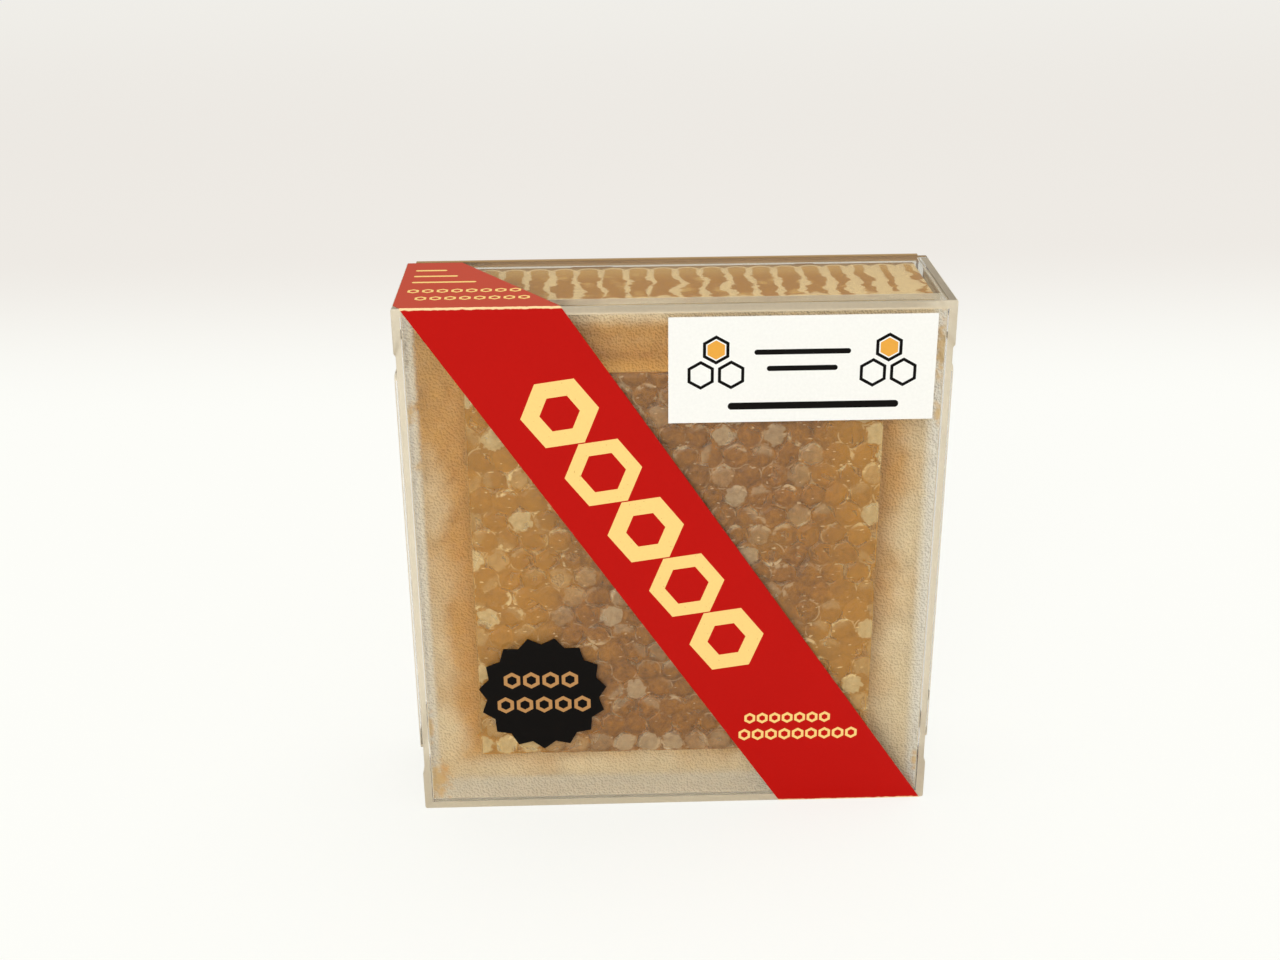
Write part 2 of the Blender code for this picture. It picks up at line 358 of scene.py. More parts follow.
def moulded_copy(node, radius):
    """A copy of a CAD node with merged faces and rounded edges."""
    bm = bmesh.new()
    bm.from_mesh(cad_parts[node].data)
    bmesh.ops.remove_doubles(bm, verts=bm.verts, dist=SINK / 10)
    bmesh.ops.dissolve_limit(bm, angle_limit=radians(1), verts=bm.verts, edges=bm.edges)
    sharp = [edge for edge in bm.edges if edge.calc_face_angle(0) > radians(30)]
    bmesh.ops.bevel(bm, geom=sharp, offset=radius, segments=3, profile=0.5,
                    affect='EDGES', material=-1, clamp_overlap=True)
    return bm


def cut_along(bm, axis, value):
    """Adds edges where a plane square to an axis crosses the mesh."""
    point, normal = Vector((0, 0, 0)), Vector((0, 0, 0))
    point[axis] = value
    normal[axis] = 1
    bmesh.ops.bisect_plane(bm, geom=everything(bm), dist=SINK / 100, plane_co=point,
                           plane_no=normal)


def is_rounding(face):
    """True for the slanted faces that round an edge."""
    return max(abs(share) for share in face.normal) < 0.995


CLEAR, PEBBLED, PALE_EDGE, GREY_EDGE, REAR_RIM, PALE_REAR = range(6)  # the cover's finishes
TRAY_RIM, TRAY_FLOOR = 1, 2          # the tray's finishes after its clear one


class CASSETTE_OT_plastic(bpy.types.Operator):
    """Build the clear cover and tray"""
    bl_idname = "cassette.plastic"
    bl_label = "Clear cover and tray"

    def cover(self, clear, tint):
        bm = moulded_copy("cover", sizes().plastic_round)
        inner_y = FRONT + PANEL_WALL
        inner_x = COVER_HIGH.x - GRIP_PROUD - SIDE_WALL
        floor, ceiling = BASE + SIDE_WALL, TOP - SIDE_WALL
        rear = COMB_HIGH.y - 0.6 * MM
        for axis, value in ((0, -inner_x), (0, inner_x), (2, floor), (2, ceiling), (1, rear)):
            cut_along(bm, axis, value)
        for face in bm.faces:
            x, y, z = face.calc_center_median()
            across, back, up = (abs(share) for share in face.normal)
            if face.normal.y > 0.99 and abs(y - inner_y) < SINK:
                face.material_index = PEBBLED
            elif y > rear and across > 0.99 and abs(x) < inner_x + SINK:
                face.material_index = PALE_REAR
            elif y > COMB_HIGH.y and back > 0.005:
                face.material_index = REAR_RIM if z > ceiling else PALE_REAR
            elif y > rear:
                face.material_index = CLEAR
            elif is_rounding(face) or (face.normal.z > 0.99 and abs(z - floor) < SINK):
                face.material_index = PALE_EDGE
            elif y < FRONT + SINK and (abs(x) > inner_x or not floor < z < ceiling):
                face.material_index = PALE_EDGE
            elif up > 0.99 and abs(x) > inner_x:
                face.material_index = GREY_EDGE
        bmesh.ops.remove_doubles(bm, verts=bm.verts, dist=SINK / 100)
        finishes = (clear, pebble_material(tint),
                    frosted_material("frosted_edge", colours().edge, 0.45),
                    frosted_material("grey_edge", colours().grey_edge, 0.4),
                    frosted_material("rear_rim", colours().tray_edge, 0.3),
                    frosted_material("pale_rear", colours().plastic, 0.65))
        return add_piece("clear_cover", bm, finishes, "cover")

    def tray(self, tint):
        bm = moulded_copy("tray", sizes().plastic_round)
        cut_along(bm, 1, COMB_HIGH.y)
        for face in bm.faces:
            y = face.calc_center_median().y
            if y < TRAY_RIM_Y + 3 * SINK:
                face.material_index = TRAY_RIM
            elif y > COMB_HIGH.y + COMB_SLACK and face.normal.y < 0.9:
                face.material_index = TRAY_FLOOR
        finishes = (plastic_material("tray_plastic", tint, 0.04, WET_PLASTIC_IOR),
                    frosted_material("tray_rim", colours().rim, 0.25),
                    frosted_material("tray_floor_edge", colours().tray_edge, 0.1))
        return add_piece("clear_tray", bm, finishes, "tray")

    def execute(self, context):
        tint = colours().plastic
        clear = plastic_material("clear_plastic", tint, 0.02, PLASTIC_IOR)
        for piece in (self.cover(clear, tint), self.tray(tint)):
            piece.visible_shadow = False         # lets lamp light reach the comb
        return {'FINISHED'}


# ------------------------------------------------------------------- the comb

BORDER_RISE = 0.45 * MM              # height of the border's cappings over their rims
MIDDLE_RISE = 0.12 * MM              # the same where the panel presses on the comb
BASE_SINK = 0.12 * MM                # depth of the cells' bases on the back
BASE_SHEET = 2 * MM                  # thickness of the sheet that holds them
DENTED = 0.18                        # share of the raised middle's corners off the panel
DENT = 0.25 * MM
MIDDLE_ROOT = 3 * MM                 # how far the raised middle reaches into the comb
MIDDLE_FLARE = (1.06, 1, 1.04)       # how much wider and taller it is there
WALL_INSET = 0.42 * MM               # width of a cell's wax rim
CAP_INSET = 0.75 * MM                # width of the slope between rim and capping
WHOLE_CELL_SHARE = 0.55              # smaller cut cells keep a flat face


class CellSheet:
    """Hexagonal cells side by side, seen from the front, with random cappings."""

    def __init__(self, low, high, rim_y, rise, dice):
        self.low, self.high = low, high
        self.rim_y, self.rise = rim_y, rise
        self.dice = dice
        self.pitch = sizes().cell_pitch
        self.radius = self.pitch / sqrt(3)
        self.bm = bmesh.new()
        self.number = self.bm.faces.layers.int.new("cell")
        self.centres = []
        self.lay_cells()
        self.stray_corners()
        self.trim()
        self.raise_caps()

    def lay_cells(self):
        row_height = 1.5 * self.radius
        rows = int((self.high[1] - self.low[1]) / row_height) + 3
        columns = int((self.high[0] - self.low[0]) / self.pitch) + 3
        for row in range(rows):
            for column in range(columns):
                x = self.low[0] + (column - 0.5 + 0.5 * (row % 2)) * self.pitch
                z = self.low[1] + (row - 0.5) * row_height
                place = Matrix.Translation((x, self.rim_y, z)) @ Matrix.Rotation(pi / 2, 4, 'X')
                ring = bmesh.ops.create_circle(self.bm, cap_ends=True, segments=6,
                                               radius=self.radius, matrix=place)
                face = ring["verts"][0].link_faces[0]
                face[self.number] = len(self.centres)
                self.centres.append(Vector((x, self.rim_y, z)))
        bmesh.ops.remove_doubles(self.bm, verts=self.bm.verts, dist=self.pitch / 100)

    def stray_corners(self):
        """Moves each shared corner a little, so that no two cells are alike."""
        reach = sizes().cell_jitter
        for vert in self.bm.verts:
            vert.co.x += self.dice.uniform(-reach, reach)
            vert.co.z += self.dice.uniform(-reach, reach)

    def trim(self):
        """Cuts the sheet off square at its four sides."""
        for corner, sign in ((self.low, -1), (self.high, 1)):
            for axis, value in ((0, corner[0]), (2, corner[1])):
                normal = Vector((0, 0, 0))
                normal[axis] = sign
                point = Vector((0, self.rim_y, 0))
                point[axis] = value
                bmesh.ops.bisect_plane(self.bm, geom=everything(self.bm),
                                       dist=self.pitch / 500, plane_co=point,
                                       plane_no=normal, clear_outer=True)

    def raise_caps(self):
        """Gives each whole cell a rim, a slope and a capping of its own height."""
        whole_area = 1.5 * sqrt(3) * self.radius ** 2
        cells = [face for face in self.bm.faces
                 if face.calc_area() > WHOLE_CELL_SHARE * whole_area]
        bmesh.ops.inset_individual(self.bm, faces=cells, thickness=WALL_INSET,
                                   use_even_offset=True)
        bmesh.ops.inset_individual(self.bm, faces=cells, thickness=CAP_INSET,
                                   use_even_offset=True)
        for face in cells:
            lift = self.rise * self.dice.uniform(0.5, 1.0)
            lean = self.dice.uniform(-0.25, 0.25)
            for vert in face.verts:
                vert.co.y -= lift * (1 + lean * (vert.co.z - face.verts[0].co.z) / self.radius)
        bmesh.ops.poke(self.bm, faces=cells)

    def close(self, back_y):
        """Draws the sheet's border out to a flat back and closes it."""
        border = [edge for edge in self.bm.edges if edge.is_boundary]
        drawn = bmesh.ops.extrude_edge_only(self.bm, edges=border)
        for vert in moved_verts(drawn):
            vert.co.y = back_y
        rim = [edge for edge in self.bm.edges if edge.is_boundary]
        bmesh.ops.holes_fill(self.bm, edges=rim, sides=0)
        bmesh.ops.recalc_face_normals(self.bm, faces=self.bm.faces)

    def mark(self, cappings):
        """Writes where each corner lies in its cell, each cell's own capping and the side where
        its painted highlight falls.
        """
        place = self.bm.loops.layers.float_vector.new("cell_place")
        chance = self.bm.loops.layers.float_vector.new("cell_chance")
        light = self.bm.loops.layers.float_vector.new("cell_light")
        across = self.bm.loops.layers.float.new("across")
        for face in self.bm.faces:
            centre = self.centres[face[self.number]]
            capping, glow = cappings[face[self.number]]
            level = abs(face.normal.x) > abs(face.normal.z)
            for loop in face.loops:
                loop[place] = (loop.vert.co - centre) / self.radius
                loop[chance] = capping
                loop[light] = glow
                loop[across] = loop.vert.co.z if level else loop.vert.co.x


def draw_cappings(sheet, dice, paler=lambda centre: 0.0):
    """Two random vectors for each cell.

    The first holds its tone and its kind: the higher, the paler its capping.
    The second points along x and z to the side of its rim that gets a painted highlight,
    with the highlight's strength as y; most cells get it near their top, as if lit from above.
    """
    cappings = []
    for centre in sheet.centres:
        least = paler(centre)
        kind = least + (1 - least) * dice.random()
        # Where each cell's painted highlight falls, mostly towards the top, and how strong it is.
        turn = dice.gauss(pi / 2, 0.5) if dice.random() < 0.7 else dice.uniform(0, 2 * pi)
        strength = max(0.0, dice.uniform(-0.7, 1.1))
        cappings.append((Vector((dice.uniform(-1, 1), 0, kind)),
                         Vector((cos(turn), strength, sin(turn)))))
    return cappings


def capped_material():
    """Capped cells on the panel: honey tones, pale cappings, wax rims and flecks, a painted
    highlight on one side of each cell's rim, and painted shade on the other side and near its
    edge.
    """
    graph = Graph("comb_capped")
    where = graph.place()
    inside, chance = graph.attribute("cell_place"), graph.attribute("cell_chance")
    light = graph.attribute("cell_light")
    across, up = inside.part(0), inside.part(2)
    tone, kind = chance.part(0), chance.part(2)
    grain = graph.noise(0.6 * MM, detail=3.0, where=where)
    mottle = graph.noise(1.4 * MM, detail=4.0, where=where)
    ragged = (graph.noise(1.3 * MM, detail=3.0, where=where) - 0.5) * 0.9

    patches = graph.noise(20 * MM, detail=2.0, where=where)
    sideways = abs(where.part(0)) / (40 * MM)
    middle = 1 - (sideways + (patches - 0.5) * 1.2).step(0.40, 0.90)
    honey = graph.mix(middle, colours().honey_gold, colours().honey_brown)
    uneven = (mottle - 0.5) * (0.45 + 0.85 * middle) + (grain - 0.5) * (0.4 + 0.6 * middle)
    honey = graph.shaded(honey, 1 + tone * 0.07 + uneven)

    reach = (across * across + up * up) ** 0.5
    disc = 1 - (reach + ragged).step(0.68, 0.82)
    # How far a point lies towards the side of its cell that gets the painted highlight.
    facing = across * light.part(0) + up * light.part(2)
    # Painted highlight: in some cells the half of the capping that faces the light is painted
    # pale; the other pale cappings are the wax's own colour.
    half = (facing + ragged * 0.6).step(0.0, 0.35) * kind.step(0.66, 0.67)
    pale = disc * (kind.step(0.90, 0.91) * 0.85).most(kind.step(0.80, 0.81) * 0.32).most(
        half * (0.22 + 0.30 * middle)) * (0.9 + 1.1 * (mottle - 0.5))
    ring = (reach + ragged * 0.55).step(0.48, 0.70) * (1 - reach.step(0.82, 0.90))
    worn = graph.noise(1.1 * MM, detail=2.0, where=where).step(0.36, 0.52)
    # Painted highlight: a bright arc of rim on the lit side of a cell, mostly near its top.
    painted_highlight_arc = ring * (facing + ragged * 0.8).step(0.28, 0.60) * light.part(1) * worn
    border = reach.step(0.82, 0.88) * (1 - reach.step(0.93, 0.98))
    broken = graph.noise(2.4 * MM, detail=1.0, where=where).step(0.53, 0.62)
    streaks = graph.node("ShaderNodeVectorMath", {0: where, 1: (0.55, 1, 1.5)},
                         operation='MULTIPLY')
    flecks = graph.noise(0.9 * MM, detail=1.0, where=streaks).step(0.69, 0.74)
    wax = graph.mix(middle, colours().wax_pale, colours().wax_grey)
    # Painted highlight arcs together with the pale wax rims and flecks, which lighten the wax.
    painted_highlight_and_pale_wax = painted_highlight_arc.most(border * broken).most(flecks)
    wax = graph.shaded(wax, 0.96 + (grain - 0.5) * 0.35 + tone * 0.05 + 0.26 * painted_highlight_and_pale_wax)
    cover = pale.most(painted_highlight_arc).most(border * broken * 0.45).most(flecks * 0.85).least(0.95)
    colour = graph.mix(cover, honey, wax)
    # Painted shade: darker near each cell's edge and on the side away from its painted highlight.
    away = (reach + ragged * 0.3).step(0.40, 0.7) * (0 - facing).step(0.0, 0.6)
    shadow = (reach.step(0.86, 1.0) * 0.10).most(away * (0.04 + 0.16 * middle)) * (1 - cover)
    return graph.surface(Base_Color=graph.shaded(colour, 1 - shadow),
                         Roughness=0.34 + 0.25 * grain,
                         Normal=graph.bump(mottle * 0.6 + grain * 0.4, 0.08 * MM, 0.4))


def border_material():
    """The sunken border's soft pale wax, browner towards the raised middle and the top; beside
    the raised middle the brown is partly painted shade, and its cells have painted shade near
    their edges.
    """
    graph = Graph("comb_border")
    where = graph.place()
    inside, chance = graph.attribute("cell_place"), graph.attribute("cell_chance")
    height = (where.part(2) - BASE) / (TOP - BASE)
    beside = abs(where.part(0)) - sizes().middle_width / 2
    under = (BASE + sizes().middle_bottom) - where.part(2)
    # near: 1 behind and next to the raised middle, fading over 9 mm; the border is browner there,
    # as honey colour and as painted shade from the raised middle.
    near = 1 - (beside.most(under).most(0) / (9 * MM)).step(0.0, 1.0)
    patches = graph.noise(14 * MM, detail=3.0, where=where)
    leftward = where.part(0) / COMB_LOW.x
    brown = (patches - 0.5) * 1.1 + height * 0.52 + near * 0.50 + leftward * 0.14
    brown = brown.step(0.03, 0.67)
    brown = brown * (1 - where.part(2).step(TOP - 7 * MM, TOP - 4 * MM))
    colour = graph.mix(brown, colours().border_pale, colours().border_brown)
    reach = abs(inside.part(0)).most(abs(inside.part(0)) * 0.5 + abs(inside.part(2)) * 0.866)
    mottle = graph.noise(1.8 * MM, detail=3.0, where=where)
    # Random tone and mottle, with painted shade in the creases near each cell's edge.
    tone_and_painted_shade = 1 + chance.part(0) * 0.05 + (mottle - 0.5) * 0.3 - reach.step(0.78, 0.95) * 0.10
    return graph.surface(Base_Color=graph.shaded(colour, tone_and_painted_shade), Roughness=0.45,
                         Normal=graph.bump(mottle, 0.08 * MM, 0.3))


def cut_material(depth_low, depth_high):
    """Cells seen from the side: ragged wavy wax walls, honey between, round cell bases."""
    graph = Graph("comb_cut")
    where = graph.place()
    depth = (where.part(1) - depth_low) / (depth_high - depth_low)
    calm = 1 - depth.step(0.62, 0.84)
    drift = (graph.noise(7 * MM, detail=2.0, where=where) - 0.5) * 5.5 * MM * calm
    along = (graph.attribute("across", output="Fac") - 1.3 * MM + drift) / sizes().cell_pitch
    cell = along.one('FRACT') - 0.5
    ragged = (graph.noise(1.1 * MM, detail=3.0, where=where) - 0.5) * 0.55
    creamy = where.part(0).step(24 * MM, 46 * MM) * 0.42
    swell = (graph.noise(6 * MM, detail=2.0, where=where) - 0.5) * 1.1
    wall = (abs(cell) * 2 + ragged * calm + swell * calm + creamy - 0.64).step(0.0, 0.16)
    base_line = 0.970 - cell * cell * 0.270
    behind = (depth - base_line).step(-0.004, 0.004)
    rim = 1 - abs(depth - base_line + 0.014).step(0.012, 0.024)
    pale_front = (0.10 - depth + (graph.noise(5 * MM, detail=2.0) - 0.5) * 0.4).step(0.0, 0.06)
    pale_depth = depth.step(0.55, 0.92) * 0.8
    blot = graph.noise(4.5 * MM, detail=3.0, where=where)
    honey = graph.mix(pale_depth.most(blot.step(0.52, 0.72)), colours().cut_amber,
                      colours().cut_gold)
    grain = graph.noise(0.7 * MM, detail=2.0, where=where)
    wax = graph.shaded(colours().cut_wax, 0.88 + grain * 0.24)
    colour = graph.mix((wall * (1 - behind)).most(rim).most(pale_front), honey, wax)
    colour = graph.mix(behind * 0.85, colour, colours().tray_edge)
    return graph.surface(Base_Color=colour, Roughness=0.45)


def comb_reach():
    """The (x, z) corners of the comb once it reaches just into the tray's walls."""
    spare = COMB_SLACK + SINK
    return ((COMB_LOW.x - spare, COMB_LOW.z - spare), (COMB_HIGH.x + spare, COMB_HIGH.z + spare))


def side_faces_to(bm, index):
    """Gives the faces that look sideways, up or down another finish."""
    for face in bm.faces:
        if abs(face.normal.y) < 0.1:
            face.material_index = index


class CASSETTE_OT_comb(bpy.types.Operator):
    """Build the comb: its body, its raised middle and its cell bases"""
    bl_idname = "cassette.comb"
    bl_label = "Comb"

    @staticmethod
    def paleness(centre):
        """Cells in the lowest row and along the sides are more often pale."""
        if centre.z < BASE + sizes().middle_bottom + 4 * MM:
            return 0.78
        return 0.72 if abs(centre.x) > sizes().middle_width / 2 - 2.5 * MM else 0.0

    def execute(self, context):
        dice = random.Random(sizes().seed)
        low, high = comb_reach()
        back = COMB_HIGH.y + COMB_SLACK
        front = FRONT + sizes().border_depth
        border, capped = border_material(), capped_material()
        cut = cut_material(front, back)

        body = CellSheet(low, high, front, BORDER_RISE, dice)
        body.close(back)
        body.mark(draw_cappings(body, dice))
        side_faces_to(body.bm, 1)
        add_piece("comb_body", body.bm, (border, cut), "comb")

        half = sizes().middle_width / 2
        lower = BASE + sizes().middle_bottom
        touch = FRONT + PANEL_WALL - SINK
        raised = CellSheet((-half, lower), (half, BASE + sizes().middle_top), touch,
                           MIDDLE_RISE, dice)
        for vert in raised.bm.verts:
            if dice.random() < DENTED:
                vert.co.y += dice.uniform(0, DENT)
        raised.close(front + MIDDLE_ROOT)
        flare = [vert for vert in raised.bm.verts if vert.co.y > front]
        bmesh.ops.scale(raised.bm, vec=MIDDLE_FLARE, verts=flare,
                        space=Matrix.Translation((0, 0, -(low[1] + high[1]) / 2)))
        raised.mark(draw_cappings(raised, dice, self.paleness))
        for face in raised.bm.faces:
            if face.calc_center_median().y > touch + 1 * MM:
                face.material_index = 1
        add_piece("comb_raised_middle", raised.bm, (capped, border), "comb")

        bases = CellSheet((low[0] + SINK, low[1] + SINK), (high[0] - SINK, high[1] - SINK),
                          back - SINK, -BASE_SINK, dice)
        bases.close(back - BASE_SHEET)
        bases.mark(draw_cappings(bases, dice))
        add_piece("comb_bases", bases.bm, (capped,), "comb")
        return {'FINISHED'}


# ----------------------------------------------------------------- the labels

BAND_LEAN = 0.6665                   # sideways run for each unit down the front
BAND_LEFT_AT_TOP = -53.2 * MM        # its left edge where it folds over the top
BAND_SIDE_LIMIT = 54.7 * MM          # it is cut off level here, near the side walls
BAND_END = 31.8 * MM                 # the folded ends' reach behind the front
FOLD_STEPS = 5
LABEL_LIFT = 0.01 * MM               # a label's back stands this far off the plastic
PRINT_TILT = radians(-22)
PRINT_FIRST = Vector((-23.0, 92.5)) * MM     # centre of the band's highest large ring
PRINT_STEP = Vector((8.45, -12.9)) * MM      # from each large ring to the next


def band_material():
    """Coated red paper, worn to pale gold along its two folds, with a painted sheen on its top.
    """
    graph = Graph("red_paper")
    where = graph.place()
    colour = colours()
    fibre = graph.noise(0.7 * MM, detail=3.0, where=where)
    wide = graph.noise(18 * MM, detail=2.0, where=where)
    red = graph.shaded(colour.red, 0.92 + 0.08 * fibre + 0.08 * wide)
    height = where.part(2)
    depth = where.part(1) - FRONT
    ragged = (graph.noise(1.3 * MM, detail=3.0, where=where) - 0.5) * 0.5 * MM
    near_front = 1 - (depth + ragged).step(0.10 * MM, 0.32 * MM)
    top_fold = (height + ragged).step(TOP - 0.36 * MM, TOP - 0.16 * MM)
    base_fold = 1 - (height + ragged).step(BASE + 0.15 * MM, BASE + 0.4 * MM)
    # Painted sheen: the top of the band made a little paler, as a glossy reflection at a grazing
    # angle would make it.
    glare = (height - TOP).step(-0.05 * MM, 0.05 * MM) * 0.09
    worn = near_front * top_fold.most(base_fold)
    # Pale where the folds are worn, and the painted sheen on the top.
    paint = graph.mix((worn * 0.92).most(glare), red, colour.worn_fold_and_sheen)
    return graph.surface(Base_Color=paint, Roughness=0.30 + 0.12 * fibre, IOR=PAPER_IOR,
                         Normal=graph.bump(fibre, 0.01 * MM, 0.3))


def print_material(name, colour, speckle):
    """Ink on paper, with a faint grain and small speckles."""
    graph = Graph(name)
    fibre = graph.noise(0.6 * MM, detail=3.0)
    specks = graph.noise(0.38 * MM, detail=1.0).step(0.72, 0.78) * speckle
    ink = graph.mix(specks, colour, colours().cut_amber)
    return graph.surface(Base_Color=graph.shaded(ink, 0.95 + 0.1 * fibre),
                         Roughness=0.42 + 0.1 * fibre, IOR=PAPER_IOR)


def band_stations():
    """The band's (run, y, z): over the top, down the front and under the base."""
    fold = 0.35 * MM
    front, top, base = FRONT - LABEL_LIFT, TOP + LABEL_LIFT, BASE - LABEL_LIFT
    end = FRONT + BAND_END
    edge_run = (BAND_LEFT_AT_TOP + BAND_SIDE_LIMIT) / BAND_LEAN
    points = [(end, top), (front + edge_run, top)]
    for step in range(FOLD_STEPS + 1):
        turn = pi / 2 * step / FOLD_STEPS
        points.append((front + fold - fold * sin(turn), top - fold + fold * cos(turn)))
    points += [(y, top + base - z) for y, z in reversed(points)]
    run = front - end
    stations = [(run, *points[0])]
    for before, after in zip(points, points[1:]):
        run += (Vector(after) - Vector(before)).length
        stations.append((run, *after))
    return stations


def band_mesh():
    """The folded band: one edge drawn along its stations, then made as thick as paper."""
    bm = bmesh.new()
    edge = None
    for run, y, z in band_stations():
        left = BAND_LEFT_AT_TOP + run * BAND_LEAN
        right = min(left + sizes().band_width, BAND_SIDE_LIMIT)
        left = max(left, -BAND_SIDE_LIMIT)
        if edge is None:
            edge = bm.edges.new([bm.verts.new((left, y, z)), bm.verts.new((right, y, z))])
            continue
        drawn = bmesh.ops.extrude_edge_only(bm, edges=[edge])
        ends = sorted(moved_verts(drawn), key=lambda vert: vert.co.x)
        for end, x in zip(ends, (left, right)):
            end.co = (x, y, z)
        edge = bm.edges.get(ends)
    bmesh.ops.recalc_face_normals(bm, faces=bm.faces)
    front_face = min(bm.faces, key=lambda face: face.calc_center_median().y)
    if front_face.normal.y > 0:
        bmesh.ops.reverse_faces(bm, faces=bm.faces)
    bmesh.ops.solidify(bm, geom=bm.faces[:], thickness=-sizes().paper)
    bmesh.ops.recalc_face_normals(bm, faces=bm.faces)
    return bm


class FlatShapes:
    """Flat shapes in a plane of their own, laid on the pack: paper or print."""

    def __init__(self, origin, right, up):
        self.bm = bmesh.new()
        self.right, up = Vector(right), Vector(up)
        self.out = self.right.cross(up)
        turned = Matrix((self.right, up, self.out)).transposed().to_4x4()
        self.plane = Matrix.Translation(origin) @ turned

    def disc(self, sides, radius, centre=(0, 0), turn=0.0):
        """A regular polygon with its first corner straight up, and its corners."""
        place = self.plane @ Matrix.Translation((*centre, 0)) @ Matrix.Rotation(turn, 4, 'Z')
        return bmesh.ops.create_circle(self.bm, cap_ends=True, segments=sides,
                                       radius=radius, matrix=place)["verts"]

    def hexagon(self, radius, centre, turn=0.0, stroke=0.0):
        """A filled hexagon, or a ring where stroke is its width."""
        face = self.disc(6, radius, centre, turn)[0].link_faces[0]
        face.normal_update()
        if stroke:
            bmesh.ops.inset_region(self.bm, faces=[face], thickness=stroke,
                                   use_boundary=True, use_even_offset=True)
            bmesh.ops.delete(self.bm, geom=[face], context='FACES_ONLY')

    def hexagon_row(self, count, step, radius, centre, stroke):
        """A level row of small rings."""
        for index in range(count):
            x = centre[0] + (index - (count - 1) / 2) * step
            self.hexagon(radius, (x, centre[1]), stroke=stroke)

    def bar(self, length, height, centre):
        """A level bar with round ends."""
        corners = self.disc(16, height / 2, centre, pi / 16)
        middle = self.plane @ Vector((*centre, 0))
        for side in (-1, 1):
            half = [vert for vert in corners if (vert.co - middle).dot(self.right) * side > 0]
            bmesh.ops.translate(self.bm, vec=self.right * side * (length - height) / 2,
                                verts=half)

    def sheet(self, width, height):
        """An upright rectangle round the middle."""
        size = Matrix.Diagonal((width, height, 1, 1))
        bmesh.ops.create_grid(self.bm, x_segments=1, y_segments=1, size=0.5,
                              matrix=self.plane @ size)

    def saw_tooth_disc(self, teeth, radius, valley):
        """A disc with pointed teeth, one of them straight down."""
        corners = self.disc(2 * teeth, radius, turn=pi)
        bmesh.ops.scale(self.bm, vec=Vector((1, 1, 1)) * valley / radius,
                        space=Matrix.Translation(-self.plane.translation),
                        verts=corners[1::2])

    def finish(self, thickness, sunk=0.0):
        """Draws the shapes out to their thickness, with their backs sunk a little."""
        bmesh.ops.translate(self.bm, vec=-self.out * sunk, verts=self.bm.verts)
        thicken(self.bm, self.bm.faces[:], self.out * thickness)
        bmesh.ops.recalc_face_normals(self.bm, faces=self.bm.faces)
        return self.bm

    def printed(self):
        """The shapes as ink, half sunk into the paper."""
        return self.finish(sizes().ink, sizes().ink / 2)


class CASSETTE_OT_band(bpy.types.Operator):
    """Build the red band label and its print"""
    bl_idname = "cassette.band"
    bl_label = "Band label"

    def execute(self, context):
        add_piece("band_paper", band_mesh(), (band_material(),), "band_label")
        cream = print_material("cream_print", colours().cream, 0.5)
        face_y = FRONT - LABEL_LIFT - sizes().paper
        ink = FlatShapes((0, face_y, BASE), (1, 0, 0), (0, 0, 1))
        radius = sizes().print_radius
        for index in range(5):
            ink.hexagon(radius, PRINT_FIRST + PRINT_STEP * index, PRINT_TILT,
                        radius * (0.36 if index % 2 else 0.42))
        ink.hexagon_row(7, 2.7 * MM, 1.35 * MM, (24.2 * MM, 21.3 * MM), 0.55 * MM)
        ink.hexagon_row(9, 2.9 * MM, 1.45 * MM, (26.6 * MM, 17.2 * MM), 0.55 * MM)
        add_piece("band_front_print", ink.printed(), (cream,), "band_label")
        face_z = TOP + LABEL_LIFT + sizes().paper
        ink = FlatShapes((0, FRONT, face_z), (1, 0, 0), (0, 1, 0))
        ink.hexagon_row(8, 2.9 * MM, 1.3 * MM, (-39.6 * MM, 6.4 * MM), 0.5 * MM)
        ink.hexagon_row(8, 2.9 * MM, 1.3 * MM, (-41.5 * MM, 11.4 * MM), 0.5 * MM)
        for y, length in ((17.5, 13.0), (21.8, 9.0), (26.0, 6.5)):
            ink.bar(length * MM, 0.9 * MM, ((length / 2 - 52.5) * MM, y * MM))
        add_piece("band_top_print", ink.printed(), (cream,), "band_label")
        return {'FINISHED'}


class CASSETTE_OT_front_label(bpy.types.Operator):
    """Build the white label and its plain print"""
    bl_idname = "cassette.front_label"
    bl_label = "White label"

    def execute(self, context):
        low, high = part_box("front_label")
        middle = (low + high) / 2
        across, up = (1, 0, 0), (0, 0, 1)
        sheet = FlatShapes((middle.x, FRONT - LABEL_LIFT, middle.z), across, up)
        sheet.sheet(high.x - low.x, high.z - low.z)
        add_piece("white_label_paper", sheet.finish(sizes().paper),
                  (print_material("white_paper", colours().white, 0.0),),
                  "front_label")
        face = (middle.x, FRONT - LABEL_LIFT - sizes().paper, middle.z)
        black, amber = FlatShapes(face, across, up), FlatShapes(face, across, up)
        radius = 3.0 * MM
        for side in (-1, 1):
            for x, z in ((17.0, 4.2), (20.0, -1.0), (14.0, -1.0)):
                centre = (side * x * MM, z * MM)
                black.hexagon(radius, centre, stroke=0.62 * MM)
                if z > 0:
                    amber.hexagon(radius * 0.66, centre)
        for length, height, x, z in ((19, 1.1, 0, 3.6), (14, 1.1, 0, 0.2), (34, 1.5, 2.4, -7.6)):
            black.bar(length * MM, height * MM, (x * MM, z * MM))
        add_piece("white_label_black_print", black.printed(),
                  (print_material("black_print", colours().black, 0.0),),
                  "front_label")
        add_piece("white_label_amber_print", amber.printed(),
                  (print_material("amber_print", colours().amber, 0.0),),
                  "front_label")
        return {'FINISHED'}


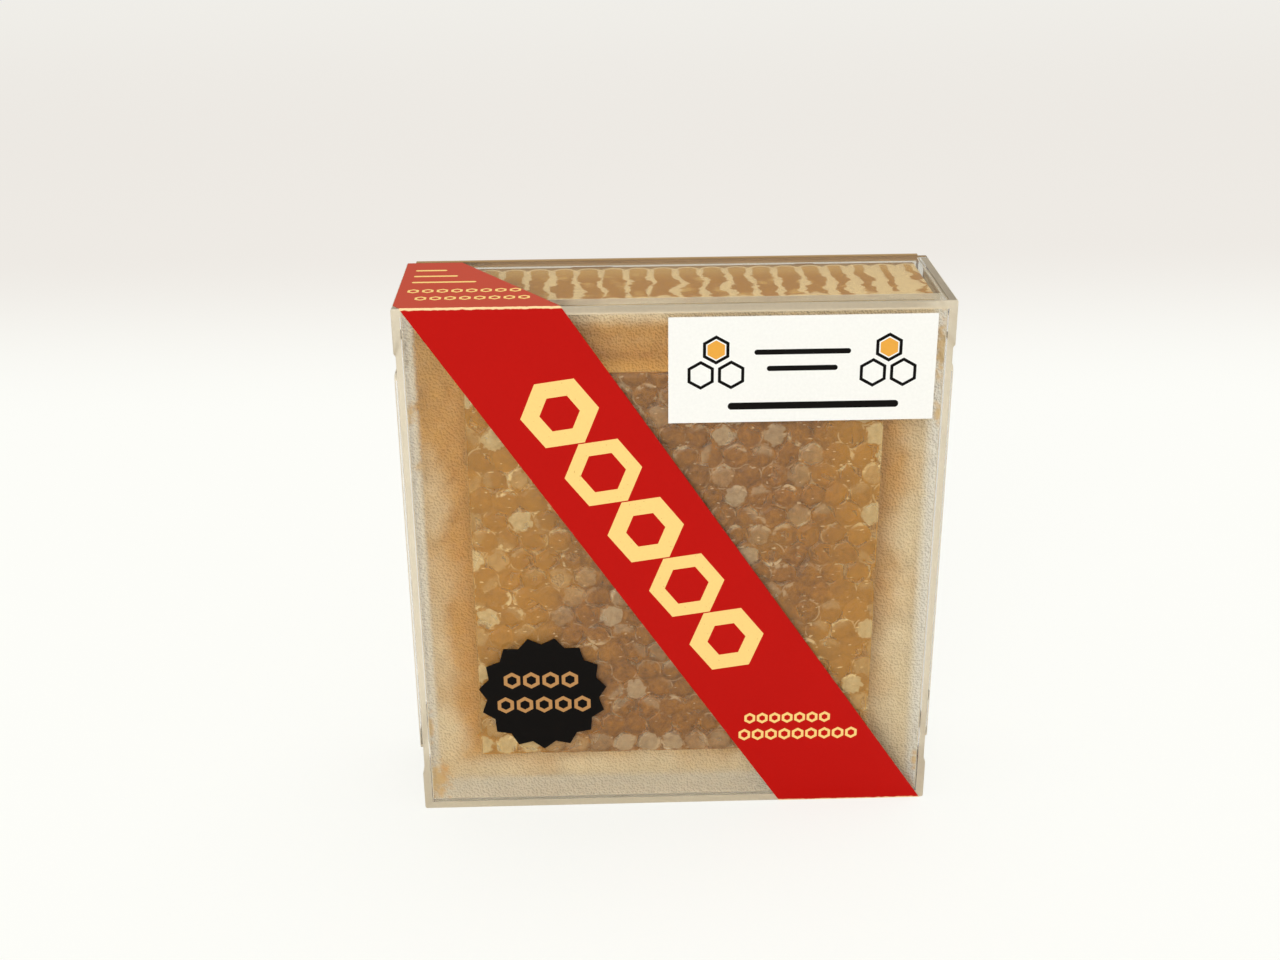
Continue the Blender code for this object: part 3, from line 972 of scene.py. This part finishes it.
class CASSETTE_OT_badge(bpy.types.Operator):
    """Build the black saw-tooth badge and the rows of rings on it"""
    bl_idname = "cassette.badge"
    bl_label = "Badge"

    def execute(self, context):
        low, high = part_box("badge_label")
        centre = Vector(((low.x + high.x) / 2, FRONT - LABEL_LIFT,
                         low.z + sizes().badge_radius))
        across, up = (1, 0, 0), (0, 0, 1)
        disc = FlatShapes(centre, across, up)
        disc.saw_tooth_disc(sizes().badge_teeth, sizes().badge_radius, sizes().badge_valley)
        add_piece("badge_sticker", disc.finish(sizes().paper),
                  (print_material("black_sticker", colours().black, 0.0),),
                  "badge_label")
        centre.y -= sizes().paper
        windows = FlatShapes(centre, across, up)
        for count, x, z in ((4, -0.3, 3.4), (5, 0.2, -2.6)):
            windows.hexagon_row(count, 4.1 * MM, 2.0 * MM, (x * MM, z * MM), 0.75 * MM)
        add_piece("badge_windows", windows.printed(),
                  (print_material("badge_window", colours().window, 0.4),),
                  "badge_label")
        return {'FINISHED'}


# ------------------------------------------------------------------ the stage

CAMERA_LENS = 45.93                  # millimetres, on a 36 mm wide sensor
CAMERA_PLACE = Vector((-15.378, -302.597, 208.654)) * MM
CAMERA_PITCH, CAMERA_YAW, CAMERA_ROLL = 0.408059, -0.0270961, -0.00822675


def camera_matrix():
    """The camera's axes from its pitch down, yaw and roll, placed before the front."""
    level = Vector((cos(CAMERA_YAW), sin(CAMERA_YAW), 0))
    ahead = Vector((-sin(CAMERA_YAW) * cos(CAMERA_PITCH), cos(CAMERA_YAW) * cos(CAMERA_PITCH),
                    -sin(CAMERA_PITCH)))
    above = level.cross(ahead)
    right = level * cos(CAMERA_ROLL) + above * sin(CAMERA_ROLL)
    up = above * cos(CAMERA_ROLL) - level * sin(CAMERA_ROLL)
    place = CAMERA_PLACE + Vector((0, FRONT, BASE))
    rows = [(right[i], up[i], -ahead[i], place[i]) for i in range(3)]
    return Matrix((*rows, (0, 0, 0, 1)))


FLOOR_REACH = 2.5                    # metres from its middle to each side
FLOOR_BACK = 0.9                     # how far its middle lies behind the pack
FLOOR_GLOW = 0.8                     # share of the floor's look that ignores shadows


def stage_material():
    """Pale floor that looks evenly bright to the camera near the pack but keeps a soft shadow,
    with painted shade making it darker behind the pack.
    """
    graph = Graph("stage")
    distance = graph.place().part(1)
    # Painted shade: the floor grows darker behind the pack and eases off again further back.
    far = distance.step(0.22, 0.45) * (1 - 0.45 * distance.step(0.6, 1.5))
    colour = graph.mix(far, colours().floor, colours().distance)
    material = graph.surface(Base_Color=colour, Roughness=0.9, Specular_IOR_Level=0.0)
    glow = graph.node("ShaderNodeEmission", {"Color": colour, "Strength": 1.0})
    seen = graph.node("ShaderNodeLightPath", output="Is Camera Ray").most(
        graph.node("ShaderNodeLightPath", output="Is Transmission Ray"))
    plain = Value(graph, graph.shader.outputs["BSDF"])
    mixed = graph.node("ShaderNodeMixShader", {0: seen * FLOOR_GLOW, 1: plain, 2: glow})
    output = graph.tree.nodes["Material Output"]
    graph.tree.links.new(mixed.socket, output.inputs["Surface"])
    return material


def studio_world():
    """Even pale light all round, dimmer low behind the pack."""
    graph = Graph("studio", bpy.data.worlds.new("studio"))
    towards = graph.node("ShaderNodeTexCoord", output="Generated")
    behind = towards.part(1).step(0.3, 0.8) * (1 - towards.part(2).step(0.38, 0.62))
    camera = graph.node("ShaderNodeLightPath", output="Is Camera Ray")
    return graph.surface(Color=(1, 1, 1), Strength=(0.66 - 0.48 * behind).most(camera * 0.9))


def add_area_lamp(name, place, target, width, energy):
    """A square white lamp that looks at its target."""
    lamp = bpy.data.lights.new(name, 'AREA')
    lamp.shape = 'SQUARE'
    lamp.size = width
    lamp.energy = energy
    thing = bpy.data.objects.new(name, lamp)
    thing.location = place
    thing.rotation_euler = (Vector(target) - Vector(place)).to_track_quat('-Z', 'Y').to_euler()
    bpy.context.scene.collection.objects.link(thing)


class CASSETTE_OT_stage(bpy.types.Operator):
    """Build the floor, the backdrop, the lamps and the camera"""
    bl_idname = "cassette.stage"
    bl_label = "Stage"

    def execute(self, context):
        scene = context.scene
        floor_z = BASE - LABEL_LIFT - sizes().paper
        bm = bmesh.new()
        bmesh.ops.create_grid(bm, x_segments=1, y_segments=1, size=FLOOR_REACH)
        bmesh.ops.translate(bm, vec=(0, FLOOR_BACK, floor_z), verts=bm.verts)
        mesh = bpy.data.meshes.new("floor")
        bm.to_mesh(mesh)
        bm.free()
        mesh.materials.append(stage_material())
        floor = bpy.data.objects.new("floor", mesh)
        scene.collection.objects.link(floor)

        scene.world = studio_world()
        add_area_lamp("key_lamp", (-0.5, -1.6, 0.75), (0, 0, 0.05), 1.0, 10.0)
        add_area_lamp("top_lamp", (0.1, 0.2, 1.2), (0, 0, 0.05), 0.8, 4.4)

        camera = bpy.data.cameras.new("camera")
        camera.sensor_width = 36
        camera.lens = CAMERA_LENS
        camera.clip_start = 0.01
        view = bpy.data.objects.new("camera", camera)
        view.matrix_world = camera_matrix()
        scene.collection.objects.link(view)
        scene.camera = view
        scene.view_settings.view_transform = 'Standard'
        return {'FINISHED'}


# --------------------------------------------------------------------- add-on

OPERATORS = (CASSETTE_OT_plastic, CASSETTE_OT_comb, CASSETTE_OT_band, CASSETTE_OT_front_label,
             CASSETTE_OT_badge, CASSETTE_OT_stage)


class CASSETTE_PT_panel(bpy.types.Panel):
    """Lists the cassette's pieces"""
    bl_idname = "CASSETTE_PT_panel"
    bl_label = "Honeycomb Cassette"
    bl_space_type = 'VIEW_3D'
    bl_region_type = 'UI'
    bl_category = "Honeycomb"

    def draw(self, context):
        for operator in OPERATORS:
            self.layout.operator(operator.bl_idname)
        for group in (context.scene.cassette_sizes, context.scene.cassette_colours):
            for name in group.__annotations__:
                self.layout.prop(group, name)


CLASSES = (CassetteSizes, CassetteColours, *OPERATORS, CASSETTE_PT_panel)


def register():
    for cls in CLASSES:
        bpy.utils.register_class(cls)
    bpy.types.Scene.cassette_sizes = PointerProperty(type=CassetteSizes)
    bpy.types.Scene.cassette_colours = PointerProperty(type=CassetteColours)


def unregister():
    del bpy.types.Scene.cassette_colours
    del bpy.types.Scene.cassette_sizes
    for cls in reversed(CLASSES):
        bpy.utils.unregister_class(cls)


def main():
    register()
    bpy.ops.cassette.plastic()
    bpy.ops.cassette.comb()
    bpy.ops.cassette.band()
    bpy.ops.cassette.front_label()
    bpy.ops.cassette.badge()
    bpy.ops.cassette.stage()


if __name__ == "__main__":
    main()
